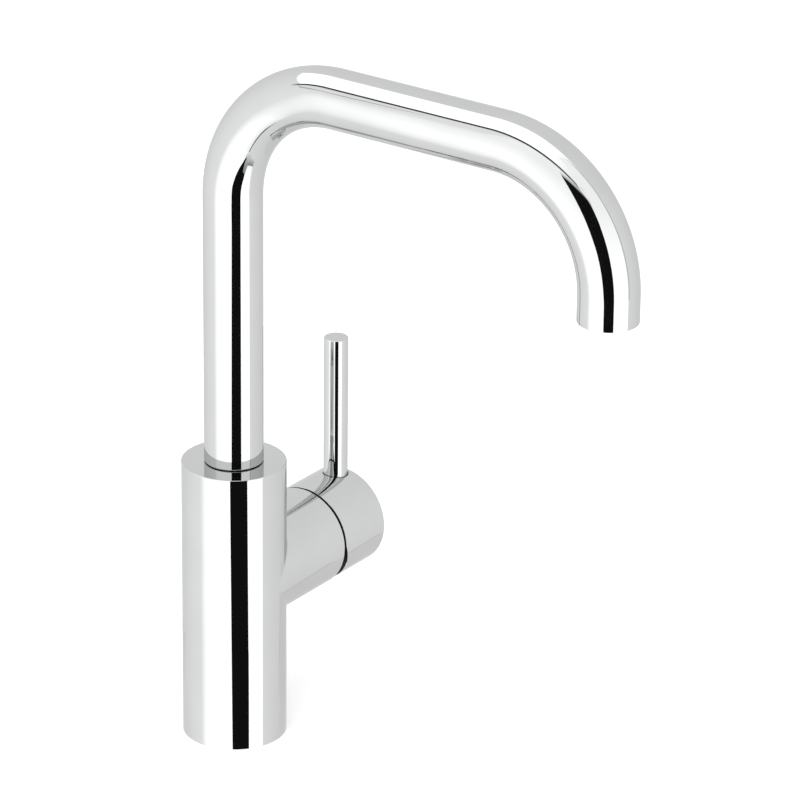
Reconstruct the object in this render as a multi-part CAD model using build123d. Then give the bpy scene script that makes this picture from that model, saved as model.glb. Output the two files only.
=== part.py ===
from build123d import *
import math
import os

# A tall single-lever mixer tap: a round column, a swivel spout tube with two
# bends, and a tilting hub with a pin lever on the column's side.
# Millimetres. The origin is the column's centre on the deck, +Z is up, the
# lever is on +X and the spout points to -Y.

# Column and side housing, one brass casting
column_d = 49.5
column_h = 139.5
housing_d = 49.4
housing_axis_z = 79.5
housing_end_x = 55.05
junction_blend = 2.5
rim_round = 0.4

# Hollow under the column, with its foot, seal groove and fixing holes
foot_mouth_d = 38.0
foot_h = 5.0
core_wall = 3.25
core_top_z = 50.0
seal_cord = 2.2
inlet_thread_d = 8.9
inlet_thread_len = 12.0
inlet_spacing = 17.0
inlet_x = 3.0
stud_thread_d = 6.8
stud_thread_len = 14.0
stud_x = -11.0

# Waterways
inlet_way_d = 6.6
outlet_way_d = 8.4

# Spout tube
tube_d = 28.0
tube_wall = 1.5
arm_axis_z = 331.0
reach = 205.0
bend_r = 58.5
outlet_z = 260.0

# Spout socket, tail and swivel stop
tail_d = 21.9
tail_bore_d = 15.0
tail_len = 34.5
tail_plug_len = 12.0
socket_floor_gap = 1.0
swivel_limit = 60.0
stop_depth = 15.5
stop_thread_d = 6.0
stop_dog_d = 4.0
stop_dog_len = 2.6
stop_screw_len = 12.0
stop_groove_depth = 1.5
hex_key_d = 3.0
o_ring_cord = 1.8
o_ring_depths = (27.2, 22.5)
glide_ring_h = 3.0
glide_ring_wall = 1.0
glide_lip_h = 0.35
glide_seat_depth = 2.5
glide_seat_wall = 2.2

# Outlet and aerator
insert_h = 11.6
insert_recess = 0.4
aerator_thread_d = 20.5
aerator_h = 8.0
aerator_recess = 0.8
aerator_wall = 1.5
aerator_floor = 1.6
aerator_hole_d = 2.4
jet_hole_d = 1.8
screen_wall = 0.4
seal_h = 1.5
shoulder_d = 17.6

# Cartridge, on the housing's axis: places are measured from the seat outwards
seat_x = 12.0
cartridge_d = 35.0
cartridge_base_h = 4.5
cartridge_shell_h = 29.0
shell_wall = 1.7
shell_top_h = 3.0
shell_neck_h = 3.0
shell_neck_step = 4.5
shell_neck_wall = 1.6
locating_pin_d = 3.4
locating_pin_len = 2.0
locating_pin_inset = 5.5
disc_seal_proud = 0.5
fixed_disc_h = 3.2
moving_disc_h = 3.5
disc_gap = 0.5
disc_step = 1.5
disc_pocket_d = 15.0
disc_pocket_depth = 2.0
disc_pocket_z = -2.5
disc_rest_z = -1.5
inlet_port_d = 6.0
inlet_port_y = 7.5
inlet_port_z = 4.5
outlet_port_d = 7.6
outlet_port_z = -7.0
port_seal_wall = 1.4
port_seal_h = 1.8
carrier_h = 4.8
carrier_key_h = 1.0

# Retaining nut and its seat in the housing
nut_thread_step = 1.5
nut_h = 7.0
nut_bore_gap = 0.2
nut_slot_w = 4.0
nut_slot_depth = 2.0
housing_mouth_step = 1.5
housing_mouth_depth = 4.0

# Turning guide, tilt pin and stem
pivot_x = 35.5
tilt_limit = 18.0
pivot_pin_d = 3.0
pivot_pin_len = 20.0
stem_w = 8.0
stem_square = 8.0
stem_h = 9.0
finger_d = 5.2
finger_reach = 8.5
finger_neck = 3.8
stem_end_x = 80.0

# Hub cap, a step smaller than the housing
hub_step = 0.3
hub_gap = 1.3
hub_end_x = 88.0
hub_wall = 2.5
hub_end_wall = 4.0
hub_cut_angle = 16.0
hub_cut_start = 2.0
hub_boss_d = 20.0
hub_boss_x = 62.0
hub_edge = 0.3

# Pin lever
lever_d = 11.8
lever_x = 81.0
lever_top_z = 174.5
lever_seat_depth = 2.5
lever_thread_d = 6.0
lever_thread_len = 9.0
lever_boss_wall = 2.6
lever_edge = 0.4

# Grub screw under the hub, and its plug
hub_screw_d = 5.0
hub_screw_len = 8.0
hub_screw_x = 71.0
hub_screw_hex = 2.5
plug_len = 4.0
plug_recess = 0.3

# Clearances
running = 0.05
seated = 0.05
thread_gap = 0.05
loose = 0.3
lever_seam = 0.15

# Worked out from the sizes above
column_r = column_d / 2
housing_r = housing_d / 2
tube_r = tube_d / 2
tail_r = tail_d / 2
socket_r = tail_r + running
tail_foot_z = column_h - tail_len
socket_floor_z = tail_foot_z - socket_floor_gap
stop_z = column_h - stop_depth
tube_foot_z = column_h + glide_lip_h + seated
hub_rim_x = housing_end_x + hub_gap
hub_r = housing_r - hub_step
cartridge_r = cartridge_d / 2
chamber_r = cartridge_r + loose
locating_pin_y = cartridge_r - locating_pin_inset
disc_r = cartridge_r - shell_wall - disc_gap
moving_disc_r = disc_r - disc_step
shell_neck_r = cartridge_r - shell_neck_step
shell_mouth_r = shell_neck_r - shell_neck_wall
nut_thread_r = cartridge_r + nut_thread_step
housing_mouth_r = nut_thread_r + housing_mouth_step
shell_x0 = seat_x + seated + cartridge_base_h
shell_x1 = shell_x0 + cartridge_shell_h - shell_neck_h - cartridge_base_h
fixed_disc_x = shell_x0 + disc_seal_proud
moving_disc_x = fixed_disc_x + fixed_disc_h
carrier_x = moving_disc_x + moving_disc_h + seated
guide_x = carrier_x + carrier_h + loose
nut_x0 = shell_x1 + seated
outlet_top_z = outlet_z + insert_recess + insert_h
ports = ((inlet_port_y, inlet_port_z), (-inlet_port_y, inlet_port_z), (0.0, outlet_port_z))
port_radii = (inlet_port_d / 2, inlet_port_d / 2, outlet_port_d / 2)
far = 2 * column_d


# Round bars, rings and blocks that the pieces are turned and milled from
def bar_z(r, z0, z1, x=0.0, y=0.0):
    return Pos(x, y, z0) * Cylinder(r, z1 - z0, align=(Align.CENTER, Align.CENTER, Align.MIN))


def bar_x(r, x0, x1, y=0.0, z=0.0):
    bar = Cylinder(r, x1 - x0, align=(Align.CENTER, Align.CENTER, Align.MIN))
    return Pos(x0, y, housing_axis_z + z) * Rot(0, 90, 0) * bar


def bar_y(r, y0, y1, x=0.0, z=0.0):
    bar = Cylinder(r, y1 - y0, align=(Align.CENTER, Align.CENTER, Align.MIN))
    return Pos(x, y0, z) * Rot(-90, 0, 0) * bar


def ring_z(r_out, r_in, z0, z1):
    return bar_z(r_out, z0, z1) - bar_z(r_in, z0, z1)


def ring_x(r_out, r_in, x0, x1, y=0.0, z=0.0):
    return bar_x(r_out, x0, x1, y, z) - bar_x(r_in, x0, x1, y, z)


def block(x0, x1, y0, y1, z0, z1):
    return Pos(x0, y0, z0) * Box(x1 - x0, y1 - y0, z1 - z0, align=(Align.MIN, Align.MIN, Align.MIN))


def hexagon_z(across, z0, z1):
    return extrude(Plane.XY.offset(z0) * RegularPolygon(across / 2, 6, major_radius=False), z1 - z0)


def side_profile(points, half_width):
    """A prism across the housing, from points (x, height over the housing's axis)."""
    outline = Plane.XZ * Pos(0, housing_axis_z) * make_face(Polyline(*points, close=True))
    return extrude(outline, half_width, both=True)


# Column with its side housing, blended where they meet
def outer_form():
    column = bar_z(column_r, 0, column_h)
    housing = bar_x(housing_r, 0, housing_end_x)
    form = column + housing
    meeting = [
        e
        for e in form.edges()
        if rim_round < e.center().X < column_r + rim_round
        and abs(e.center().Z - housing_axis_z) < housing_r
        and e.geom_type not in (GeomType.LINE, GeomType.CIRCLE)
    ]
    form = fillet(meeting, junction_blend)
    rims = form.edges().filter_by(GeomType.CIRCLE)
    top_rim = rims.filter_by_position(Axis.Z, column_h - seated, column_h + seated)
    end_rim = rims.filter_by_position(Axis.X, housing_end_x - seated, housing_end_x + seated)
    return fillet(top_rim + end_rim, rim_round)


# The hollow that the hoses and the stud come up through
def underside():
    core_r = column_r - core_wall
    hollow = bar_z(core_r, foot_h, core_top_z) + bar_z(foot_mouth_d / 2, -1, foot_h)
    for y in (-inlet_spacing / 2, inlet_spacing / 2):
        hollow += bar_z(inlet_thread_d / 2, core_top_z - 1, core_top_z + inlet_thread_len, inlet_x, y)
    hollow += bar_z(stud_thread_d / 2, core_top_z - 1, core_top_z + stud_thread_len, stud_x)
    groove_r = (foot_mouth_d / 2 + column_r) / 2
    groove_half = seal_cord / 2 + loose
    return hollow + ring_z(groove_r + groove_half, groove_r - groove_half, -1, seal_cord + seated)


# Two ways up to the cartridge's seat, and one from the seat to the spout
def waterways():
    way_r = inlet_way_d / 2
    inlet_level = housing_axis_z + inlet_port_z
    ways = bar_x(outlet_port_d / 2, 0, seat_x + 1, 0, outlet_port_z)
    outlet_foot = housing_axis_z + outlet_port_z - outlet_port_d / 2
    ways += bar_z(outlet_way_d / 2, outlet_foot, socket_floor_z + 1)
    for side in (-1, 1):
        ways += bar_z(way_r, core_top_z, inlet_level + way_r, inlet_x, side * inlet_spacing / 2)
        ways += bar_x(inlet_port_d / 2, inlet_x, seat_x + 1, side * inlet_port_y, inlet_port_z)
    return ways


# Chamber for the cartridge, with the nut's thread and the housing's open mouth
def cartridge_chamber():
    chamber = bar_x(chamber_r, seat_x, nut_x0)
    chamber += bar_x(nut_thread_r, nut_x0 - 1, housing_end_x)
    chamber += bar_x(housing_mouth_r, housing_end_x - housing_mouth_depth, housing_end_x + 1)
    for side in (-1, 1):
        pin_foot = seat_x - locating_pin_len - loose
        chamber += bar_x(locating_pin_d / 2 + seated, pin_foot, seat_x + 1, side * locating_pin_y)
    return chamber


# Socket that the spout turns in, with the glide ring's seat and the stop screw's thread
def spout_socket():
    socket = bar_z(socket_r, socket_floor_z, column_h + 1)
    socket += bar_z(socket_r + glide_seat_wall, column_h - glide_seat_depth, column_h + 1)
    return socket + bar_y(stop_thread_d / 2 + thread_gap, socket_r - 1, far, 0, stop_z)


def body_casting():
    return outer_form() - underside() - waterways() - cartridge_chamber() - spout_socket()


def base_seal():
    middle_r = (foot_mouth_d / 2 + column_r) / 2
    return Pos(0, 0, seal_cord / 2) * Torus(middle_r, seal_cord / 2)


# Grub screw with a dog point, hidden in the back of the column
def stop_screw():
    tip_y = tail_r - stop_groove_depth + loose
    shank_y = tip_y + stop_dog_len
    head_y = tip_y + stop_screw_len
    screw = bar_y(stop_dog_d / 2, tip_y, shank_y, 0, stop_z)
    screw += bar_y(stop_thread_d / 2, shank_y, head_y, 0, stop_z)
    key = Pos(0, head_y, stop_z) * Rot(90, 0, 0) * hexagon_z(hex_key_d, -1, hex_key_d)
    return screw - key


def glide_ring_upper():
    ring_r = socket_r + glide_seat_wall - seated
    return ring_z(ring_r, tail_r + loose, column_h - glide_seat_depth + seated, column_h + glide_lip_h)


# Spout tube: up, over the arm and down to the open end
def tube_path():
    return FilletPolyline(
        (0, 0, tube_foot_z),
        (0, 0, arm_axis_z),
        (0, -reach, arm_axis_z),
        (0, -reach, outlet_z),
        radius=bend_r,
    )


def spout_tube():
    section = Plane.XY.offset(tube_foot_z) * (Circle(tube_r) - Circle(tube_r - tube_wall))
    return sweep(section, path=tube_path())


# Tail: its plug is soldered into the tube's foot, its grooves hold the rings and the stop
def spout_tail():
    plug_r = tube_r - tube_wall - seated
    tail = bar_z(tail_r, tail_foot_z, tube_foot_z + 1)
    tail += bar_z(plug_r, tube_foot_z, tube_foot_z + tail_plug_len)
    tail -= bar_z(tail_bore_d / 2, tail_foot_z - 1, tube_foot_z + tail_plug_len + 1)
    groove_r = tail_r - o_ring_cord - seated
    for depth in o_ring_depths:
        z = column_h - depth
        half = o_ring_cord / 2 + loose
        tail -= ring_z(far, groove_r, z - half, z + half)
    seat_r = tail_r - glide_ring_wall
    tail -= ring_z(far, seat_r, tail_foot_z + 1, tail_foot_z + 1 + glide_ring_h + 2 * seated)
    return tail - stop_groove()


# The stop screw's dog runs in this groove, whose two ends stop the swivel
def stop_groove():
    floor_r = tail_r - stop_groove_depth
    half = stop_dog_d / 2 + loose
    side_angle = math.degrees(math.asin(half / floor_r))
    sweep_angle = swivel_limit + side_angle
    section = Plane.XZ * Pos(floor_r + far / 2, stop_z) * Rectangle(far, 2 * half)
    return Rot(0, 0, 90 - sweep_angle) * revolve(section, Axis.Z, 2 * sweep_angle)


def tail_o_ring(depth):
    return Pos(0, 0, column_h - depth) * Torus(tail_r - o_ring_cord / 2, o_ring_cord / 2)


def glide_ring_lower():
    foot = tail_foot_z + 1 + seated
    return ring_z(tail_r, tail_r - glide_ring_wall + seated, foot, foot + glide_ring_h)


# Threaded ring in the open end, with the shoulder that the aerator's seal meets
def outlet_insert():
    foot = outlet_z + insert_recess
    ring = bar_z(tube_r - tube_wall - seated, foot, outlet_top_z)
    thread_top = outlet_z + aerator_recess + aerator_h + seal_h + seated
    ring -= bar_z(aerator_thread_d / 2 + thread_gap, foot - 1, thread_top)
    ring -= bar_z(shoulder_d / 2, foot, outlet_top_z + 1)
    return Pos(0, -reach, 0) * ring


# Holes on rings round a centre: 1, then 6, 12, ... on each further ring
def hole_rings(hole_r, pitch, rings, z0, z1):
    holes = bar_z(hole_r, z0, z1)
    for ring in range(1, rings + 1):
        for i in range(6 * ring):
            angle = math.tau * i / (6 * ring)
            spot = (ring * pitch * math.cos(angle), ring * pitch * math.sin(angle))
            holes += bar_z(hole_r, z0, z1, *spot)
    return holes


def aerator_housing():
    foot = outlet_z + aerator_recess
    cup = bar_z(aerator_thread_d / 2, foot, foot + aerator_h)
    cup -= bar_z(aerator_thread_d / 2 - aerator_wall, foot + aerator_floor, foot + aerator_h + 1)
    inner_r = aerator_thread_d / 2 - aerator_wall
    pitch = (inner_r - aerator_hole_d / 2) / 2.2
    cup -= hole_rings(aerator_hole_d / 2, pitch, 2, foot - 1, foot + aerator_floor + 1)
    return Pos(0, -reach, 0) * cup


# Plate with small jets on a turned rim, held in the aerator's housing
def jet_regulator():
    inner_r = aerator_thread_d / 2 - aerator_wall - seated
    foot = outlet_z + aerator_recess + aerator_floor + seated
    top = foot + aerator_h - aerator_floor - 2
    plate_z = foot + (top - foot) / 2
    plate = ring_z(inner_r, inner_r - 1, foot, top) + bar_z(inner_r, plate_z, plate_z + 1.2)
    pitch = (inner_r - 1 - jet_hole_d / 2) / 2.3
    plate -= hole_rings(jet_hole_d / 2, pitch, 2, plate_z - 1, plate_z + 3)
    return Pos(0, -reach, 0) * plate


# Shallow dome of perforated steel over the jets
def aerator_screen():
    inner_r = aerator_thread_d / 2 - aerator_wall - seated
    foot = outlet_z + aerator_recess + aerator_h - 2 + 2 * seated
    rise = 1.5
    sphere_r = (inner_r**2 + rise**2) / (2 * rise)
    centre_z = foot + screen_wall + seated + rise - sphere_r
    dome = Pos(0, 0, centre_z) * (Sphere(sphere_r) - Sphere(sphere_r - screen_wall))
    dome &= bar_z(inner_r, foot, foot + rise + 1)
    dome -= hole_rings(jet_hole_d / 2, inner_r / 3.2, 2, foot - 1, foot + rise + 1)
    return Pos(0, -reach, 0) * dome


def aerator_seal():
    foot = outlet_z + aerator_recess + aerator_h + seated / 2
    ring = ring_z(aerator_thread_d / 2 - seated, shoulder_d / 2 - 1, foot, foot + seal_h)
    return Pos(0, -reach, 0) * ring


# The cartridge's base carries the ports across from the seat to the discs
def cartridge_base():
    x0 = seat_x + seated
    base = bar_x(cartridge_r, x0, shell_x0 - seated)
    for side in (-1, 1):
        base += bar_x(locating_pin_d / 2, x0 - locating_pin_len, x0, side * locating_pin_y)
    for (y, z), r in zip(ports, port_radii):
        base -= bar_x(r, x0 - 1, shell_x0 + 1, y, z)
        pocket_r = r + port_seal_wall + seated
        base -= bar_x(pocket_r, x0 - 1, x0 + port_seal_h, y, z)
        base -= bar_x(pocket_r, shell_x0 - port_seal_h, shell_x0 + 1, y, z)
    return base


def port_rings(x0, x1):
    rings = [ring_x(r + port_seal_wall, r, x0, x1, y, z) for (y, z), r in zip(ports, port_radii)]
    return Compound(children=rings)


def port_seals():
    return port_rings(seat_x + seated, seat_x + port_seal_h)


def disc_seals():
    return port_rings(shell_x0 - port_seal_h + seated, fixed_disc_x - seated / 2)


def fixed_disc():
    disc = bar_x(disc_r, fixed_disc_x, moving_disc_x - seated / 2)
    for (y, z), r in zip(ports, port_radii):
        disc -= bar_x(r, fixed_disc_x - 1, moving_disc_x + 1, y, z)
    return disc


# The moving disc's pocket joins the ports when it slides and turns
def moving_disc():
    top = moving_disc_x + moving_disc_h
    disc = bar_x(moving_disc_r, moving_disc_x, top, 0, disc_rest_z)
    pocket_z = disc_rest_z + disc_pocket_z
    disc -= bar_x(disc_pocket_d / 2, moving_disc_x - 1, moving_disc_x + disc_pocket_depth, 0, pocket_z)
    return disc - carrier_keys(loose / 2, 1.0)


# Two keys on the carrier's underside hold the moving disc
def carrier_keys(gap, extra):
    key_y = moving_disc_r - 2.5
    keys = None
    for side in (-1, 1):
        z = housing_axis_z + disc_rest_z
        key = block(
            moving_disc_x + moving_disc_h - carrier_key_h - gap,
            moving_disc_x + moving_disc_h + extra,
            side * key_y - 1.2 - gap,
            side * key_y + 1.2 + gap,
            z - 2.0 - gap,
            z + 2.0 + gap,
        )
        keys = key if keys is None else keys + key
    return keys


def disc_carrier():
    carrier = bar_x(moving_disc_r, carrier_x, carrier_x + carrier_h, 0, disc_rest_z)
    carrier += carrier_keys(0.0, seated + 0.5)
    slot_w = stem_w / 2 + seated
    slot_h = finger_d / 2 + 2 * seated
    return carrier - block(
        carrier_x - 1,
        carrier_x + carrier_h + 1,
        -slot_w,
        slot_w,
        housing_axis_z - slot_h,
        housing_axis_z + slot_h,
    )


# Outer shell of the cartridge, with a collar that the nut centres on
def cartridge_shell():
    shell = bar_x(cartridge_r, shell_x0, shell_x1)
    shell += bar_x(shell_neck_r, shell_x1 - 1, shell_x1 + shell_neck_h)
    shell -= bar_x(cartridge_r - shell_wall, shell_x0 - 1, shell_x1 - shell_top_h)
    return shell - bar_x(shell_mouth_r, shell_x0, shell_x1 + shell_neck_h + 1)


# Guide that turns in the shell; its slot lets the stem tilt one way from upright
def rotating_guide():
    flange_r = cartridge_r - shell_wall - running
    neck_r = shell_mouth_r - 2 * running
    shoulder_x = shell_x1 - shell_top_h - seated
    end_x = shell_x1 + shell_neck_h
    guide = bar_x(flange_r, guide_x, shoulder_x) + bar_x(neck_r, shoulder_x - 1, end_x)
    half = stem_h / 2 + loose
    tilt = math.tan(math.radians(tilt_limit))
    drop = (end_x - pivot_x) * tilt
    rise = (pivot_x - guide_x) * tilt
    slot = (
        (guide_x - 1, -half),
        (guide_x - 1, half + rise),
        (pivot_x - 2, half + 1.1),
        (pivot_x, half + 0.2),
        (end_x + 1, half + 0.2),
        (end_x + 1, -half - drop - 0.8),
        (pivot_x, -half - 0.2),
    )
    guide -= side_profile(slot, stem_w / 2 + running)
    pin_half = pivot_pin_len / 2 + seated
    return guide - bar_y(pivot_pin_d / 2 + seated, -pin_half, pin_half, pivot_x, housing_axis_z)


def pivot_pin():
    half = pivot_pin_len / 2
    return bar_y(pivot_pin_d / 2, -half, half, pivot_x, housing_axis_z)


# Stem: round finger in the carrier, thick block on the pin, square end in the hub
def stem():
    half_w = stem_w / 2
    axis = housing_axis_z
    finger_x = pivot_x - finger_reach
    piece = bar_y(finger_d / 2, -half_w, half_w, finger_x, axis)
    neck = finger_neck / 2
    block_x = pivot_x - pivot_pin_d
    piece += block(finger_x, block_x + 1, -half_w, half_w, axis - neck, axis + neck)
    collar_x = shell_x1 + shell_neck_h + loose
    piece += block(block_x, collar_x, -half_w, half_w, axis - stem_h / 2, axis + stem_h / 2)
    half = stem_square / 2
    piece += block(collar_x - 1, stem_end_x, -half, half, axis - half, axis + half)
    return piece - bar_y(pivot_pin_d / 2 + running, -far, far, pivot_x, axis)


# Nut with slots for a pin wrench, screwed in behind the cartridge's collar
def retaining_nut():
    end_x = nut_x0 + nut_h
    nut = ring_x(nut_thread_r - thread_gap, shell_neck_r + nut_bore_gap, nut_x0, end_x)
    for turn in (0, 90):
        slot = block(end_x - nut_slot_depth, end_x + 1, -far, far, -nut_slot_w / 2, nut_slot_w / 2)
        nut -= Pos(0, 0, housing_axis_z) * Rot(turn, 0, 0) * slot
    return nut


# The hub's lower rim is cut back at a slant, and swings over the housing's rim
def hub_rim_cut():
    slope = math.tan(math.radians(hub_cut_angle))
    low = -far
    outline = (
        (hub_rim_x - far, hub_cut_start),
        (hub_rim_x, hub_cut_start),
        (hub_rim_x + (hub_cut_start - low) * slope, low),
        (hub_rim_x - far, low),
    )
    return side_profile(outline, far)


def hub():
    cap = bar_x(hub_r, hub_rim_x, hub_end_x)
    cap = chamfer(cap.edges().filter_by(GeomType.CIRCLE), hub_edge)
    inner_x = hub_end_x - hub_end_wall
    cap -= bar_x(hub_r - hub_wall, hub_rim_x - 1, inner_x)
    cap -= hub_rim_cut()
    within = bar_x(hub_r - hub_wall / 2, hub_boss_x, hub_end_x - hub_end_wall / 2)
    axis = housing_axis_z
    boss = bar_x(hub_boss_d / 2, hub_boss_x, inner_x + 1)
    boss += bar_z(lever_d / 2 + lever_boss_wall, axis, axis + hub_r, lever_x)
    boss += bar_z(hub_screw_d / 2 + lever_boss_wall, axis - hub_r, axis, hub_screw_x)
    cap += boss & within
    half = stem_square / 2 + seated
    cap -= block(hub_boss_x - 1, stem_end_x + loose, -half, half, axis - half, axis + half)
    seat_z = axis + hub_r - lever_seat_depth
    cap -= bar_z(lever_d / 2 + lever_seam, seat_z, axis + far, lever_x)
    cap -= bar_z(lever_thread_d / 2 + thread_gap, seat_z - lever_thread_len - loose, axis + far, lever_x)
    cap -= bar_z(hub_screw_d / 2 + thread_gap, axis - far, axis, hub_screw_x)
    return cap


def pin_lever():
    foot_z = housing_axis_z + hub_r - lever_seat_depth + seated
    pin = bar_z(lever_d / 2, foot_z, lever_top_z, lever_x)
    top_edge = pin.edges().filter_by(GeomType.CIRCLE).sort_by(Axis.Z)[-1]
    pin = chamfer(top_edge, lever_edge)
    return pin + bar_z(lever_thread_d / 2, foot_z - lever_thread_len, foot_z + 1, lever_x)


def hub_grub_screw():
    tip_z = housing_axis_z - stem_square / 2 - seated
    head_z = tip_z - hub_screw_len
    screw = bar_z(hub_screw_d / 2, head_z, tip_z, hub_screw_x)
    return screw - Pos(hub_screw_x, 0, 0) * hexagon_z(hub_screw_hex, head_z - 1, head_z + hub_screw_hex)


# Domed plastic plug in the screw's hole
def screw_plug():
    face_z = housing_axis_z - hub_r + plug_recess
    plug = bar_z(hub_screw_d / 2, face_z, face_z + plug_len, hub_screw_x)
    foot_edge = plug.edges().filter_by(GeomType.CIRCLE).sort_by(Axis.Z)[0]
    return fillet(foot_edge, hub_screw_d / 8)


pieces = {
    "body_casting": body_casting(),
    "base_seal": base_seal(),
    "stop_screw": stop_screw(),
    "glide_ring_upper": glide_ring_upper(),
    "spout_tube": spout_tube(),
    "spout_tail": spout_tail(),
    "o_ring_lower": tail_o_ring(o_ring_depths[0]),
    "o_ring_upper": tail_o_ring(o_ring_depths[1]),
    "glide_ring_lower": glide_ring_lower(),
    "outlet_insert": outlet_insert(),
    "aerator_housing": aerator_housing(),
    "jet_regulator": jet_regulator(),
    "aerator_screen": aerator_screen(),
    "aerator_seal": aerator_seal(),
    "cartridge_base": cartridge_base(),
    "port_seals": port_seals(),
    "disc_seals": disc_seals(),
    "fixed_disc": fixed_disc(),
    "moving_disc": moving_disc(),
    "disc_carrier": disc_carrier(),
    "cartridge_shell": cartridge_shell(),
    "rotating_guide": rotating_guide(),
    "pivot_pin": pivot_pin(),
    "stem": stem(),
    "retaining_nut": retaining_nut(),
    "hub": hub(),
    "pin_lever": pin_lever(),
    "hub_grub_screw": hub_grub_screw(),
    "screw_plug": screw_plug(),
}

os.makedirs("parts", exist_ok=True)
for name, piece in pieces.items():
    export_step(piece, f"parts/{name}.step")
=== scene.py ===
# A tall single-lever mixer tap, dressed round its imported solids. Metres, in the
# solids' own frame: the column stands on z = 0, the lever is on +X and the
# spout points to -Y. The file goes from the deck up, as the tap is put together.
import math

import bpy
from mathutils import Euler, Matrix, Vector


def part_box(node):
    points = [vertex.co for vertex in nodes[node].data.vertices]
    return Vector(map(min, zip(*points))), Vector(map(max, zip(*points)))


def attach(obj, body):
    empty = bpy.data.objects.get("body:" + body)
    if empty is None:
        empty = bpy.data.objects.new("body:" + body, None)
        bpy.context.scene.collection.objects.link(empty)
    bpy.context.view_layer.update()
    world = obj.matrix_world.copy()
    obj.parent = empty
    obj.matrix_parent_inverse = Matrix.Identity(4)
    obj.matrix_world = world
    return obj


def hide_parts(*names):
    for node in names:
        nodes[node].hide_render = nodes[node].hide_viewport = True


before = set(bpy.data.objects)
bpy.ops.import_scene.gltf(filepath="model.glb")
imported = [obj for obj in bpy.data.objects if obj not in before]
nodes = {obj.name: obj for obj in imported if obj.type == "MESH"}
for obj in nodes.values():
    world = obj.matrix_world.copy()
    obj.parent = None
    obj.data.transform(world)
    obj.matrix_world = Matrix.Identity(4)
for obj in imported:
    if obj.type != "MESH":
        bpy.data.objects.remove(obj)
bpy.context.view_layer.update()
bpy.ops.object.select_all(action="DESELECT")

# Base seal: the flat rubber ring in the underside that keeps water from
# running under the tap. Moulded in black nitrile rubber and pressed into its
# groove. The moulding leaves it matt, with a fine grain.
rubber_black = (0.014, 0.014, 0.015)
rubber_bloom = (0.034, 0.034, 0.035)
rubber_gloss = (0.6, 0.8)
rubber_grain = 0.0003
rubber_depth = 1e-5
mould_specular = 0.4
mould_tone_patch = 0.006
mould_gloss_patch = 0.0025
mould_grain = 0.0004
mould_depth = 6e-6
noise_middle = (0.3, 0.7)


def feed(tree, step, inputs):
    """A step's inputs: each value is set, or linked if it is another step's output."""
    for key, value in inputs.items():
        if isinstance(value, bpy.types.NodeSocket):
            tree.links.new(value, step.inputs[key])
        else:
            step.inputs[key].default_value = value


def add_step(tree, kind, inputs, **settings):
    step = tree.nodes.new(kind)
    for key, value in settings.items():
        setattr(step, key, value)
    feed(tree, step, inputs)
    return step


def start_finish(name, metallic, specular):
    """A new finish: its material, node tree, shader and the place on the piece."""
    material = bpy.data.materials.new(name)
    material.use_nodes = True
    tree = material.node_tree
    shader = tree.nodes["Principled BSDF"]
    feed(tree, shader, {"Metallic": metallic, "Specular IOR Level": specular})
    place = add_step(tree, "ShaderNodeTexCoord", {}).outputs["Object"]
    return material, tree, shader, place


def cloud(tree, place, grain, stretch=(1, 1, 1), detail=3.0):
    """Noise whose patches are about `grain` metres wide, longer where stretch is small."""
    stretched = add_step(tree, "ShaderNodeMapping", {"Vector": place, "Scale": stretch})
    noise = add_step(tree, "ShaderNodeTexNoise", {
        "Vector": stretched.outputs["Vector"], "Scale": 1 / grain, "Detail": detail})
    return noise.outputs["Fac"]


def between(tree, share, low, high, clip=noise_middle):
    """From `low` at the clip's start to `high` at its end, and no further on either side."""
    span = add_step(tree, "ShaderNodeMapRange", {
        "Value": share, "From Min": clip[0], "From Max": clip[1], "To Min": low, "To Max": high})
    return span.outputs["Result"]


def two_tones(tree, share, first, second, clip=noise_middle):
    blend = add_step(tree, "ShaderNodeMix", {
        0: between(tree, share, 0.0, 1.0, clip), 6: (*first, 1), 7: (*second, 1)}, data_type="RGBA")
    return blend.outputs[2]


def relief(tree, shader, height, depth, under=None):
    """Marks of this depth in metres, laid over the relief `under` if there is one."""
    bump = add_step(tree, "ShaderNodeBump", {"Height": height, "Distance": depth, "Strength": 1.0})
    if under:
        feed(tree, bump, {"Normal": under})
    feed(tree, shader, {"Normal": bump.outputs["Normal"]})
    return bump.outputs["Normal"]


def moulded(name, tone, worn, gloss, grain=mould_grain, depth=mould_depth):
    """A moulded rubber or plastic: two close tones, uneven gloss and the mould's fine grain."""
    material, tree, shader, place = start_finish(name, 0.0, mould_specular)
    feed(tree, shader, {
        "Base Color": two_tones(tree, cloud(tree, place, mould_tone_patch), tone, worn),
        "Roughness": between(tree, cloud(tree, place, mould_gloss_patch), *gloss)})
    relief(tree, shader, cloud(tree, place, grain), depth)
    return material


def dress(name, material):
    for slot in nodes[name].material_slots:
        slot.material = material


rubber = moulded("nitrile_rubber", rubber_black, rubber_bloom, rubber_gloss, rubber_grain, rubber_depth)
dress("base_seal", rubber)

# Body casting: the column and its side housing in one piece of cast brass,
# ground, buffed and chromed. The plating reaches little of the column's bore,
# which stays bare turned brass. The housing's bore and mouth are dull plating
# darkened with painted shade, for the shade in the gap to the hub.
chrome_light = (0.594, 0.602, 0.598)
chrome_deep = (0.570, 0.579, 0.574)
chrome_edge = (0.82, 0.83, 0.825)
chrome_specular = 0.5
chrome_tone_patch = 0.03
chrome_gloss = (0.012, 0.034)
chrome_gloss_patch = 0.012
waver_width = 0.016
waver_detail = 1.0
waver_depth = 1.2e-5
buffing_width = 0.0012
buffing_stretch = (0.2, 0.2, 1.0)
buffing_detail = 2.0
buffing_depth = 1.5e-7
bare_brass = (0.62, 0.43, 0.19)
# dull plating darkened with painted shade, for the gaps at the housing's mouth, in the hub and round the
# lever's foot
dull_plating_painted_shade = (0.035, 0.034, 0.032)
bore_roughness = 0.42
housing_centre = (0.0, 0.0, 0.0795)
casting_bore_r = 0.0242
column_bore_top = 0.1392
housing_bore_start = 0.010
housing_rim_x = 0.0548
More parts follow.
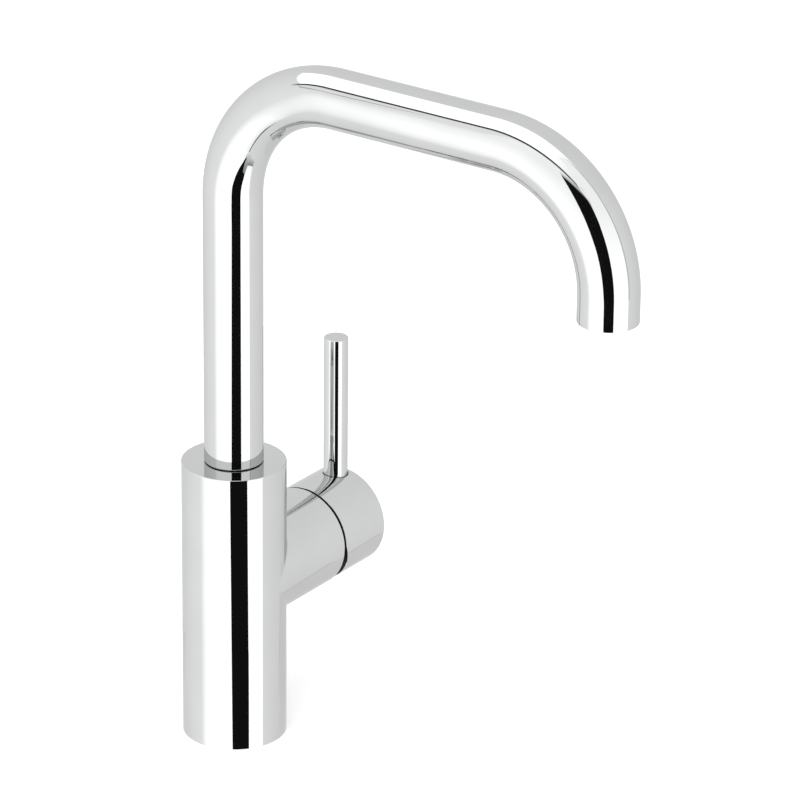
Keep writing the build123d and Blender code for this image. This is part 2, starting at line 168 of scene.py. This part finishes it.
housing_outer_r = 0.030
past_all = 1.0
x_axis = (1, 0, 0)
z_axis = (0, 0, 1)


def number_step(tree, operation, *terms):
    return add_step(tree, "ShaderNodeMath", dict(enumerate(terms)), operation=operation).outputs["Value"]


def vector_step(tree, operation, *terms):
    step = add_step(tree, "ShaderNodeVectorMath", dict(enumerate(terms)), operation=operation)
    return step.outputs["Value" if operation in ("LENGTH", "DOT_PRODUCT") else "Vector"]


def inside_bore(tree, place, point, axis, radius, first, last):
    """1 within `radius` of the axis through the point, from `first` to `last` along it, and 0 outside."""
    crosswise = [1 - share for share in axis]
    offset = vector_step(tree, "SUBTRACT", place, point)
    out = vector_step(tree, "LENGTH", vector_step(tree, "MULTIPLY", offset, crosswise))
    along = vector_step(tree, "DOT_PRODUCT", offset, axis)
    near = number_step(tree, "LESS_THAN", out, radius)
    after = number_step(tree, "GREATER_THAN", along, first)
    before = number_step(tree, "LESS_THAN", along, last)
    return number_step(tree, "MULTIPLY", near, number_step(tree, "MULTIPLY", after, before))


def chrome_plate(name, bores=()):
    """Bright chrome over buffed brass. Each bore is (point, axis, radius, first, last, tone)."""
    material, tree, shader, place = start_finish(name, 1.0, chrome_specular)
    colour = two_tones(tree, cloud(tree, place, chrome_tone_patch), chrome_light, chrome_deep)
    gloss = between(tree, cloud(tree, place, chrome_gloss_patch), *chrome_gloss)
    for *bore, tone in bores:
        inside = inside_bore(tree, place, *bore)
        # each bore's own tone: bare brass in some, and painted shade on dull plating in others
        bore_brass_and_shade = add_step(tree, "ShaderNodeMix", {0: inside, 6: colour, 7: (*tone, 1)}, data_type="RGBA")
        colour = bore_brass_and_shade.outputs[2]
        rough = add_step(tree, "ShaderNodeMix", {0: inside, 2: gloss, 3: bore_roughness})
        gloss = rough.outputs[0]
    feed(tree, shader, {"Base Color": colour, "Roughness": gloss, "Specular Tint": (*chrome_edge, 1)})
    # the slow waver that hand buffing leaves, and its finest marks
    waver = relief(tree, shader, cloud(tree, place, waver_width, detail=waver_detail), waver_depth)
    marks = cloud(tree, place, buffing_width, buffing_stretch, buffing_detail)
    relief(tree, shader, marks, buffing_depth, waver)
    return material


column_chrome = chrome_plate("column_chrome", (
    (housing_centre, z_axis, casting_bore_r, -past_all, column_bore_top - housing_centre[2], bare_brass),
    (housing_centre, x_axis, casting_bore_r, housing_bore_start, past_all, dull_plating_painted_shade),
    (housing_centre, x_axis, housing_outer_r, housing_rim_x, past_all, dull_plating_painted_shade),
))
dress("body_casting", column_chrome)

# Stop screw: a steel grub screw with a hexagon socket, in the column's back.
# Its end runs in a groove of the spout's tail, holds the spout in and stops
# its swivel.
steel_bright = (0.52, 0.51, 0.50)
steel_dark = (0.36, 0.355, 0.35)
turned_specular = 0.5
turned_patch = 0.004
turned_gloss = (0.2, 0.34)
coarse_pitch = 0.001
coarse_depth = 1.5e-4


def ridges(tree, place, axis, pitch):
    """Ridges across `axis`, one every `pitch` metres; the wave node makes 20 / tau to a unit."""
    wave = add_step(tree, "ShaderNodeTexWave", {"Vector": place, "Scale": math.tau / (20 * pitch)},
                    bands_direction=axis)
    return wave.outputs["Fac"]


def turned(name, bright, dark, axis, pitch, depth, gloss=turned_gloss):
    """A turned metal: rings of tool marks or a thread along `axis`, every `pitch` metres."""
    material, tree, shader, place = start_finish(name, 1.0, turned_specular)
    patches = cloud(tree, place, turned_patch)
    feed(tree, shader, {
        "Base Color": two_tones(tree, patches, bright, dark),
        "Roughness": between(tree, patches, *gloss)})
    relief(tree, shader, ridges(tree, place, axis, pitch), depth)
    return material


stop_steel = turned("stop_screw_steel", steel_bright, steel_dark, "Y", coarse_pitch, coarse_depth)
dress("stop_screw", stop_steel)

# Spout tail: turned from brass bar and soldered into the tube's foot. It turns
# in the column's socket on two acetal rings and is sealed by two O-rings.
brass_bright = (0.68, 0.49, 0.23)
brass_dark = (0.56, 0.38, 0.16)
tail_tool_pitch = 0.0003
tool_mark_depth = 2e-6
acetal_tone = (0.012, 0.012, 0.012)
acetal_worn = (0.028, 0.028, 0.028)
acetal_gloss = (0.25, 0.4)
tail_brass = turned("turned_brass", brass_bright, brass_dark, "Z", tail_tool_pitch, tool_mark_depth)
acetal = moulded("acetal_black", acetal_tone, acetal_worn, acetal_gloss)
dress("spout_tail", tail_brass)
dress("o_ring_lower", rubber)
dress("o_ring_upper", rubber)
dress("glide_ring_lower", acetal)
dress("glide_ring_upper", acetal)

# Spout tube: brass tube of 28 x 1.5 mm, bent twice on a mandrel, its outlet
# faced square and eased, then buffed and chromed. It is bare brass inside.
tube_r = 0.014
tube_wall = 0.0015
bend_r = 0.0585
reach = 0.205
outlet_z = 0.260
tube_sides = 128
bend_steps = 40
lip_round = 0.0004
lip_steps = 3
lip_ring = 0.001
merge_gap = 1e-6
sharp_edge = math.radians(60)
tube_smooth = math.radians(40)
tube_foot_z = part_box("spout_tube")[0][2]
arm_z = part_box("spout_tube")[1][2] - tube_r


def draw_out(x, y, z):
    bpy.ops.mesh.extrude_region_move(TRANSFORM_OT_translate={"value": (x, y, z)})


def bend_over(centre_y):
    """The tube's open end taken a quarter turn towards the outlet, round a former at this y."""
    bpy.ops.mesh.spin(steps=bend_steps, angle=math.radians(90), center=(0, centre_y, arm_z - bend_r),
                      axis=(-1, 0, 0))


def close_up():
    """Edges merged and faces turned outwards, in edit mode."""
    bpy.ops.mesh.select_all(action="SELECT")
    bpy.ops.mesh.remove_doubles(threshold=merge_gap)
    bpy.ops.mesh.normals_make_consistent(inside=False)
    bpy.ops.mesh.select_all(action="DESELECT")


def ease_edges(piece, name, width, steps):
    rounding = piece.modifiers.new(name, "BEVEL")
    rounding.width = width
    rounding.segments = steps
    rounding.limit_method = "ANGLE"
    rounding.angle_limit = sharp_edge


def finish_smooth(piece, angle):
    """Modifiers applied, faces smooth but for edges sharper than this, and flats kept true."""
    bpy.context.view_layer.objects.active = piece
    for modifier in list(piece.modifiers):
        bpy.ops.object.modifier_apply(modifier=modifier.name)
    bpy.ops.object.select_all(action="DESELECT")
    piece.select_set(True)
    bpy.ops.object.shade_smooth_by_angle(angle=angle)
    true_flats = piece.modifiers.new("true_flats", "WEIGHTED_NORMAL")
    true_flats.keep_sharp = True
    bpy.ops.object.modifier_apply(modifier=true_flats.name)
    bpy.ops.object.select_all(action="DESELECT")


bpy.ops.mesh.primitive_circle_add(vertices=tube_sides, radius=tube_r, location=(0, 0, tube_foot_z))
spout = bpy.context.object
spout.name = "spout"
bpy.ops.object.transform_apply(location=True, rotation=False, scale=False)
bpy.ops.object.mode_set(mode="EDIT")
draw_out(0, 0, lip_ring)
draw_out(0, 0, arm_z - bend_r - tube_foot_z - lip_ring)
bend_over(-bend_r)
draw_out(0, 2 * bend_r - reach, 0)
bend_over(bend_r - reach)
draw_out(0, 0, outlet_z - arm_z + bend_r + lip_ring)
draw_out(0, 0, -lip_ring)
close_up()
bpy.ops.object.mode_set(mode="OBJECT")
wall_of_tube = spout.modifiers.new("wall", "SOLIDIFY")
wall_of_tube.thickness = tube_wall
wall_of_tube.offset = -1
wall_of_tube.material_offset = 1
wall_of_tube.material_offset_rim = 0
ease_edges(spout, "lip", lip_round, lip_steps)
spout.data.materials.append(chrome_plate("spout_chrome"))
spout.data.materials.append(tail_brass)
finish_smooth(spout, tube_smooth)
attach(spout, "spout")
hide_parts("spout_tube")

# Outlet: a brass ring soldered in the tube's end and plated with it, bare in
# its thread, for a concealed aerator. The aerator's acetal housing holds a jet
# regulator and a steel screen, and seals on a rubber ring.
outlet_place = (0.0, -reach, outlet_z)
outlet_plated = 0.001
aerator_tone = (0.50, 0.51, 0.52)
aerator_worn = (0.44, 0.45, 0.46)
regulator_tone = (0.16, 0.30, 0.46)
regulator_worn = (0.13, 0.25, 0.40)
aerator_gloss = (0.3, 0.45)
# painted shade for the openings between the screen's wires
painted_gap_shade = (0.05, 0.05, 0.05)
screen_pitch = 0.0005
screen_depth = 1e-4
screen_wire_span = (0.4, 0.8)
screen_gloss = (0.25, 0.4)
screen_patch = 0.002


def woven(name, pitch, depth):
    """Stainless wire cloth: two crossing rows of wires, with painted shade in the openings between."""
    material, tree, shader, place = start_finish(name, 1.0, turned_specular)
    cloth = number_step(
        tree, "MAXIMUM", ridges(tree, place, "X", pitch), ridges(tree, place, "Y", pitch))
    feed(tree, shader, {
        "Base Color": two_tones(tree, cloth, painted_gap_shade, steel_bright, screen_wire_span),
        "Roughness": between(tree, cloud(tree, place, screen_patch), *screen_gloss)})
    relief(tree, shader, cloth, depth)
    return material


outlet_chrome = chrome_plate("outlet_chrome", (
    (outlet_place, z_axis, tube_r, outlet_plated, past_all, bare_brass),
))
dress("outlet_insert", outlet_chrome)
dress("aerator_housing", moulded("aerator_acetal", aerator_tone, aerator_worn, aerator_gloss))
dress("jet_regulator", moulded("regulator_acetal", regulator_tone, regulator_worn, aerator_gloss))
dress("aerator_screen", woven("screen_steel", screen_pitch, screen_depth))
dress("aerator_seal", rubber)

# Cartridge: base, shell and guides in glass-filled nylon, two lapped alumina
# discs, rubber rings at the ports and discs, and a milled brass stem on a
# steel pin. The brass nut clamps it in the housing.
shell_tone = (0.60, 0.60, 0.58)
shell_worn = (0.52, 0.52, 0.50)
shell_gloss = (0.42, 0.6)
guide_tone = (0.78, 0.77, 0.74)
guide_worn = (0.72, 0.71, 0.68)
guide_gloss = (0.35, 0.5)
disc_tone = (0.84, 0.80, 0.76)
disc_worn = (0.80, 0.76, 0.72)
disc_gloss = (0.06, 0.16)
disc_grain = 0.0002
disc_depth = 8e-7
stem_bright = (0.70, 0.52, 0.26)
stem_dark = (0.58, 0.41, 0.19)
stem_tool_pitch = 0.0004
pin_tool_pitch = 0.0003
pin_tool_depth = 1e-6
pin_gloss = (0.12, 0.24)
nylon_grey = moulded("cartridge_nylon", shell_tone, shell_worn, shell_gloss)
nylon_white = moulded("guide_nylon", guide_tone, guide_worn, guide_gloss)
alumina = moulded("lapped_alumina", disc_tone, disc_worn, disc_gloss, disc_grain, disc_depth)
stem_brass = turned("stem_brass", stem_bright, stem_dark, "X", stem_tool_pitch, tool_mark_depth)
pin_steel = turned("pin_steel", steel_bright, steel_dark, "Y", pin_tool_pitch, pin_tool_depth, pin_gloss)
nut_brass = turned("nut_brass", brass_bright, brass_dark, "X", coarse_pitch, coarse_depth)
dress("cartridge_base", nylon_grey)
dress("cartridge_shell", nylon_grey)
dress("port_seals", rubber)
dress("disc_seals", rubber)
dress("fixed_disc", alumina)
dress("moving_disc", alumina)
dress("disc_carrier", nylon_white)
dress("rotating_guide", nylon_white)
dress("pivot_pin", pin_steel)
dress("stem", stem_brass)
dress("retaining_nut", nut_brass)

# Hub cap: turned and milled brass, buffed and chromed outside. Inside, at its
# rim and in the seam round the lever's foot it is dull plating darkened with
# painted shade. A grub screw under it grips the stem's square end, and a small
# grey plug closes the screw's hole.
hub_bore_r = 0.0241
hub_bore_end = 0.0877
hub_rim_x = 0.0566
lever_x = 0.081
lever_seam_r = 0.0063
lever_seam_low = 0.015
lever_seam_high = 0.030
grub_pitch = 0.0008
grub_depth = 1.2e-4
plug_tone = (0.42, 0.43, 0.43)
plug_worn = (0.36, 0.37, 0.37)
plug_gloss = (0.2, 0.32)
lever_centre = (lever_x, 0.0, housing_centre[2])
hub_chrome = chrome_plate("hub_chrome", (
    (lever_centre, z_axis, lever_seam_r, lever_seam_low, lever_seam_high, dull_plating_painted_shade),
    (housing_centre, x_axis, hub_bore_r, 0.0, hub_bore_end, dull_plating_painted_shade),
    (housing_centre, x_axis, housing_outer_r, 0.0, hub_rim_x, dull_plating_painted_shade),
))
dress("hub", hub_chrome)
dress("hub_grub_screw", turned("grub_screw_steel", steel_bright, steel_dark, "Z", grub_pitch, grub_depth))
dress("screw_plug", moulded("plug_plastic", plug_tone, plug_worn, plug_gloss))

# Pin lever: chromed brass bar of 11.8 mm with an eased top, screwed into the
# hub on a turned stud.
lever_r = 0.0059
lever_foot_z = 0.10145
lever_sides = 96
stud_r = 0.003
lever_ease = 0.00045
lever_ease_steps = 4
lever_smooth = math.radians(50)
faces_down = -0.9
stud_end_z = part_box("pin_lever")[0][2]
lever_top_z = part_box("pin_lever")[1][2]
bpy.ops.mesh.primitive_cylinder_add(
    vertices=lever_sides, radius=lever_r, depth=lever_top_z - lever_foot_z,
    location=(lever_x, 0, (lever_top_z + lever_foot_z) / 2), end_fill_type="NGON")
lever = bpy.context.object
lever.name = "lever"
bpy.ops.object.transform_apply(location=True, rotation=False, scale=False)
bpy.ops.object.mode_set(mode="EDIT")
bpy.ops.mesh.select_mode(type="FACE")
bpy.ops.mesh.select_all(action="DESELECT")
bpy.ops.object.mode_set(mode="OBJECT")
for face in lever.data.polygons:
    face.select = face.normal.z < faces_down
bpy.ops.object.mode_set(mode="EDIT")
bpy.ops.mesh.inset(thickness=lever_r - stud_r)
draw_out(0, 0, stud_end_z - lever_foot_z)
close_up()
bpy.ops.object.mode_set(mode="OBJECT")
ease_edges(lever, "ease", lever_ease, lever_ease_steps)
lever.data.materials.append(chrome_plate("lever_chrome"))
finish_smooth(lever, lever_smooth)
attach(lever, "lever")
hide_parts("pin_lever")

# Floor: a plain, pale, matt table top that runs out to the backdrop. The
# chrome doesn't mirror it. What the chrome shows below is the backdrop's light
# and the card of the table's shade.
floor_r = 9.0
floor_sides = 96
floor_pale = (0.9, 0.9, 0.9)
floor_roughness = 0.7
floor_specular = 0.1
bpy.ops.mesh.primitive_circle_add(vertices=floor_sides, radius=floor_r, fill_type="NGON", location=(0, 0, 0))
floor = bpy.context.object
floor.name = "floor"
floor.visible_glossy = False
floor_paint = bpy.data.materials.new("floor_paint")
floor_paint.use_nodes = True
feed(floor_paint.node_tree, floor_paint.node_tree.nodes["Principled BSDF"], {
    "Base Color": (*floor_pale, 1), "Roughness": floor_roughness, "Specular IOR Level": floor_specular})
floor.data.materials.append(floor_paint)
bpy.ops.object.select_all(action="DESELECT")

# Camera: the photographer stood to the left of the spout, above the tap and
# far back, with a long lens. It is pitched up from straight down, rolled a
# little and turned to its heading.
camera_place = (-1.70053, -1.28978, 1.09131)
camera_pitch = math.radians(66.6516)
camera_roll = math.radians(-0.5640)
camera_heading = math.radians(-54.6539)
camera_lens = 224.88
camera_film = 36.0
camera_far = 60.0
camera_data = bpy.data.cameras.new("camera")
camera_data.sensor_width = camera_film
camera_data.lens = camera_lens
camera_data.clip_end = camera_far
camera = bpy.data.objects.new("camera", camera_data)
bpy.context.scene.collection.objects.link(camera)
camera_aim = Euler((camera_pitch, camera_roll, camera_heading)).to_matrix()
camera.matrix_world = Matrix.Translation(camera_place) @ camera_aim.to_4x4()
bpy.context.scene.camera = camera

# Left wall: the studio is a light tent of cards that only the chrome sees.
# This wall is white cloth from the camera's slit to the far corner, dimmer to
# its top, foot and far end, with a dark strip along its foot.
sideways = Vector((camera_aim.col[0].x, camera_aim.col[0].y, 0)).normalized()
ahead = Vector((camera_aim.col[2].x, camera_aim.col[2].y, 0)).normalized()
upright = Vector(z_axis)
white_light = 1.85
high_light = 1.46
slit_left = (-0.10, 0.80)
left_corner = (-0.95, 0.33)


def spot(place, height=0.0):
    """The place that is (to the camera's right, towards the camera) from the column's foot."""
    return sideways * place[0] + ahead * place[1] + upright * height


def glow(name, *fades, level=None, tint=(1.0, 1.0, 1.0)):
    """A light of one level, or as strong as the least of its fades.

    A fade is (direction, start, strength there, end, strength there).
    """
    material = bpy.data.materials.new(name)
    material.use_nodes = True
    tree = material.node_tree
    tree.nodes.clear()
    place = add_step(tree, "ShaderNodeTexCoord", {}).outputs["Object"]
    strength = level
    for direction, start, first, end, last in fades:
        along = vector_step(tree, "DOT_PRODUCT", place, direction)
        fade = between(tree, along, first, last, (start, end))
        strength = number_step(tree, "MINIMUM", strength, fade) if strength else fade
    light = add_step(tree, "ShaderNodeEmission", {"Color": (*tint, 1), "Strength": strength})
    add_step(tree, "ShaderNodeOutputMaterial", {"Surface": light.outputs[0]})
    return material


def studio_card(name, points, material):
    mesh = bpy.data.meshes.new(name)
    mesh.from_pydata([tuple(point) for point in points], [], [tuple(range(len(points)))])
    mesh.materials.append(material)
    card = bpy.data.objects.new(name, mesh)
    bpy.context.scene.collection.objects.link(card)
    card.visible_camera = False
    card.visible_diffuse = False
    card.visible_shadow = False


def panel(name, start, end, outline, material):
    """An upright card on the line from start to end; outline is (distance from start, height)."""
    run = (spot(end) - spot(start)).normalized()
    studio_card(name, [spot(start) + run * u + upright * z for u, z in outline], material)


left_wall = [
    (-0.15, -1.21), (0.20, -1.30), (0.60, -1.37), (1.10, -1.40), (1.10, 1.36), (-0.75, 1.36),
    (-0.75, 0.85), (-0.16, 0.85)]
left_foot = [
    (-0.15, -1.20), (-0.15, -1.34), (0.20, -1.52), (0.60, -1.64), (0.95, -1.60), (0.60, -1.36),
    (0.20, -1.29)]
left_foot_level = 0.14
left_run = (spot(left_corner) - spot(slit_left)).normalized()
left_start = left_run.dot(spot(slit_left))
corner_rise = left_run * 0.8 + upright * 0.6
corner_start = corner_rise.dot(spot(slit_left))
top_fade = (upright, 0.05, white_light, 0.75, high_light)
foot_fade = (upright, -1.30, 1.36, -0.50, white_light)
end_fade = (left_run, left_start + 0.72, white_light, left_start + 1.06, 1.30)
corner_fade = (corner_rise, corner_start + 0.80, white_light, corner_start + 1.25, 1.24)
left_light = glow("left_wall_light", top_fade, foot_fade, end_fade, corner_fade)
panel("wall_left", slit_left, left_corner, left_wall, left_light)
panel("wall_left_foot", slit_left, left_corner, left_foot, glow("wall_foot_dark", level=left_foot_level))

# Right wall: white cloth on the slit's other side, dimmer to its top and foot.
# A thin strip shades its far edge, and a grey skirt hangs under it.
slit_right = (0.29, 0.45)
right_corner = (0.50, 0.24)
right_end = (0.555, 0.185)
right_wall = [(0.0, -0.49), (0.31, -0.54), (0.31, 1.5), (0.0, 1.5)]
right_edge = [(0.0, 0.15), (0.04, 0.15), (0.04, 1.4), (0.0, 1.4)]
right_edge_level = 0.75
right_skirt = [(-0.04, -0.50), (0.31, -0.54), (0.31, -0.86), (-0.04, -0.90)]
right_top_fade = (upright, 0.20, white_light, 0.55, 1.48)
right_foot_fade = (upright, -0.55, 1.50, -0.25, white_light)
right_skirt_fade = (upright, -0.86, 1.16, -0.54, 0.40)
right_light = glow("right_wall_light", right_top_fade, right_foot_fade)
panel("wall_right", slit_right, right_corner, right_wall, right_light)
right_shade = glow("right_edge_shade", level=right_edge_level)
panel("wall_right_edge", right_corner, right_end, right_edge, right_shade)
panel("wall_right_skirt", slit_right, right_corner, right_skirt, glow("skirt_light", right_skirt_fade))

# Slit: the dark gap in the cloth that the camera looks through, which the
# chrome shows as its black line. Its sides hang unevenly. Behind it are the
# soft edge of its head, a shade and a skirt at its foot, and a white backing.
head_left = (-0.13, 0.84)
head_right = (0.31, 0.445)
backing_left = (-0.135, 0.845)
backing_right = (0.315, 0.449)
slit_gap = [
    (0.528, -0.25), (0.50, -0.30), (0.40, -0.34), (0.30, -0.56), (0.255, -0.74), (0.19, -0.76),
    (0.155, -0.56), (0.01, -0.20), (0.075, -0.03), (0.022, 0.05), (0.022, 0.25), (-0.05, 0.43),
    (-0.10, 0.60), (-0.13, 1.01), (0.10, 0.87), (0.475, 0.61), (0.50, 0.52), (0.50, -0.08)]
slit_level = 0.008
head_edge = [
    (-0.02, 0.80), (0.55, 0.45), (0.55, 0.60), (0.475, 0.71), (0.38, 0.835), (0.13, 1.01),
    (-0.02, 1.06)]
head_slant = 0.61
head_z = 0.91
slit_shade = [(0.20, -0.40), (0.58, -0.20), (0.58, -0.56), (0.20, -0.82)]
slit_skirt = [
    (0.14, -0.78), (0.20, -0.82), (0.58, -0.56), (0.60, -0.56), (0.60, -0.88), (0.20, -1.10),
    (0.14, -1.10)]
slit_backing = [(0.0, -0.80), (0.60, -0.80), (0.60, 0.50), (0.38, 0.80), (0.0, 1.0)]
slit_run = (spot(slit_right) - spot(slit_left)).normalized()
head_rise = (upright + slit_run * head_slant).normalized()
head_start = head_rise.dot(spot(slit_left, head_z))
head_fade = (head_rise, head_start - 0.02, 0.20, head_start + 0.10, 1.20)
shade_fade = (upright, -0.75, 0.70, -0.30, 0.38)
skirt_fade = (upright, -1.05, 1.16, -0.70, 0.75)
backing_top_fade = (upright, 0.20, white_light, 0.75, high_light)
backing_foot_fade = (upright, -0.90, 1.48, -0.55, white_light)
backing_light = glow("surround_light", backing_top_fade, backing_foot_fade)
panel("slit", slit_left, slit_right, slit_gap, glow("slit_dark", level=slit_level))
panel("slit_head", head_left, head_right, head_edge, glow("head_light", head_fade))
panel("slit_shade", head_left, head_right, slit_shade, glow("shade_light", shade_fade))
panel("slit_skirt", head_left, head_right, slit_skirt, glow("slit_skirt_light", skirt_fade))
panel("slit_surround", backing_left, backing_right, slit_backing, backing_light)

# Ceiling: a white panel that hangs level over the tap and gives the arm its
# white band. A dark seam runs where it meets the left wall, with a shorter
# and fainter one under it.
ceiling_z = 1.5
ceiling = [
    (-0.80, 1.42), (0.55, 1.42), (0.42, 1.08), (0.34, 0.80), (0.25, 0.30), (0.25, -1.05), (-0.80, -1.05)]
seam_x = -0.66
seam = [
    (1.40, 1.25), (1.10, 1.36), (-1.60, 1.35), (-1.60, 1.18), (0.95, 1.15), (1.25, 1.10), (1.12, 1.19)]
seam_low = [
    (0.95, 1.02), (0.70, 0.92), (0.50, 0.87), (0.48, 0.98), (0.455, 0.98), (0.465, 0.83), (0.60, 0.82),
    (0.76, 0.86), (0.92, 0.98)]
seam_low_level = 0.7
along_spout = Vector((0, 1, 0))
ceiling_fade = (along_spout, -0.80, 1.46, -0.15, 1.95)
seam_fade = (along_spout, -1.1, 0.40, -0.3, 0.08)


def level_card(name, height, outline, material):
    """A card that lies level at this height; outline is (x, y)."""
    studio_card(name, [(x, y, height) for x, y in outline], material)


def seam_card(name, outline, material):
    """A card upright along the spout; outline is (y, z)."""
    studio_card(name, [(seam_x, y, z) for y, z in outline], material)


level_card("ceiling", ceiling_z, ceiling, glow("ceiling_light", ceiling_fade))
seam_card("seam", seam, glow("seam_dark", seam_fade))
seam_card("seam_low", seam_low, glow("seam_low_dark", level=seam_low_level))

# Table shade: the tap's own soft shade on the table, with a darker edge, which
# the undersides of the housing and the hub mirror. Two strips make the edge,
# the near one for the housing and the far one for the hub.
table_z = 0.0
table_tint = (1.01, 0.985, 0.997)
table_shade = [
    (0.0, -0.026), (0.09, -0.059), (0.148, -0.077), (0.156, -0.069), (0.30, -0.10), (0.30, 0.12), (0.0, 0.12)]
near_edge = [
    (0.04, -0.0407), (0.09, -0.059), (0.148, -0.077), (0.148, -0.087), (0.09, -0.069), (0.04, -0.0507)]
far_edge = [(0.156, -0.069), (0.19, -0.0763), (0.19, -0.0863), (0.156, -0.079)]
along_lever = Vector(x_axis)
table_shade_fade = (along_lever, 0.0, 1.02, 0.06, 0.958)
edge_fade = (along_lever, 0.04, 1.02, 0.09, 0.90)
edge_light = glow("shade_edge_light", edge_fade, tint=table_tint)
level_card("table_shade", table_z, table_shade, glow("table_shade_light", table_shade_fade, tint=table_tint))
level_card("shade_edge", table_z, near_edge, edge_light)
level_card("shade_edge_far", table_z, far_edge, edge_light)

# Backdrop: pure white behind the tap. The chrome mirrors it a little brighter
# towards the camera and its left, and darker overhead and below. It lights the
# table more strongly than it shows, which washes the tap's shadow out.
backdrop_level = 1.165
backdrop_steep_dim = -0.12
backdrop_square = 2.0
backdrop_ahead = 0.14
backdrop_left = 0.07
backdrop_seen = 1.0
backdrop_fill = 1.3
world = bpy.data.worlds.new("studio")
bpy.context.scene.world = world
world.use_nodes = True
sky = world.node_tree
facing = add_step(sky, "ShaderNodeTexCoord", {}).outputs["Generated"]
lean = vector_step(sky, "DOT_PRODUCT", facing, ahead * backdrop_ahead - sideways * backdrop_left)
steep = number_step(sky, "POWER", vector_step(sky, "DOT_PRODUCT", facing, upright), backdrop_square)
dim = number_step(sky, "MULTIPLY_ADD", steep, backdrop_steep_dim, backdrop_level)
mirrored = number_step(sky, "ADD", lean, dim)
ray = add_step(sky, "ShaderNodeLightPath", {}).outputs
plain = add_step(sky, "ShaderNodeMix", {0: ray["Is Camera Ray"], 2: mirrored, 3: backdrop_seen})
filled = add_step(sky, "ShaderNodeMix", {0: ray["Is Diffuse Ray"], 2: plain.outputs[0], 3: backdrop_fill})
feed(sky, sky.nodes["Background"], {"Color": (1, 1, 1, 1), "Strength": filled.outputs[0]})
bpy.context.scene.view_settings.view_transform = "Standard"

# Top lamp: a wide round softbox, hung high in front of the tap and tilted a
# little. It lights the table and the dull pieces. The chrome doesn't mirror it.
lamp_width = 2.4
lamp_power = 32.0
lamp_place = (-0.4, -0.5, 2.6)
lamp_tilt = (math.radians(-9), math.radians(-8), 0)
lamp_data = bpy.data.lights.new("top_lamp", "AREA")
lamp_data.shape = "DISK"
lamp_data.size = lamp_width
lamp_data.energy = lamp_power
lamp = bpy.data.objects.new("top_lamp", lamp_data)
bpy.context.scene.collection.objects.link(lamp)
lamp.location = lamp_place
lamp.rotation_euler = lamp_tilt
lamp.visible_glossy = False
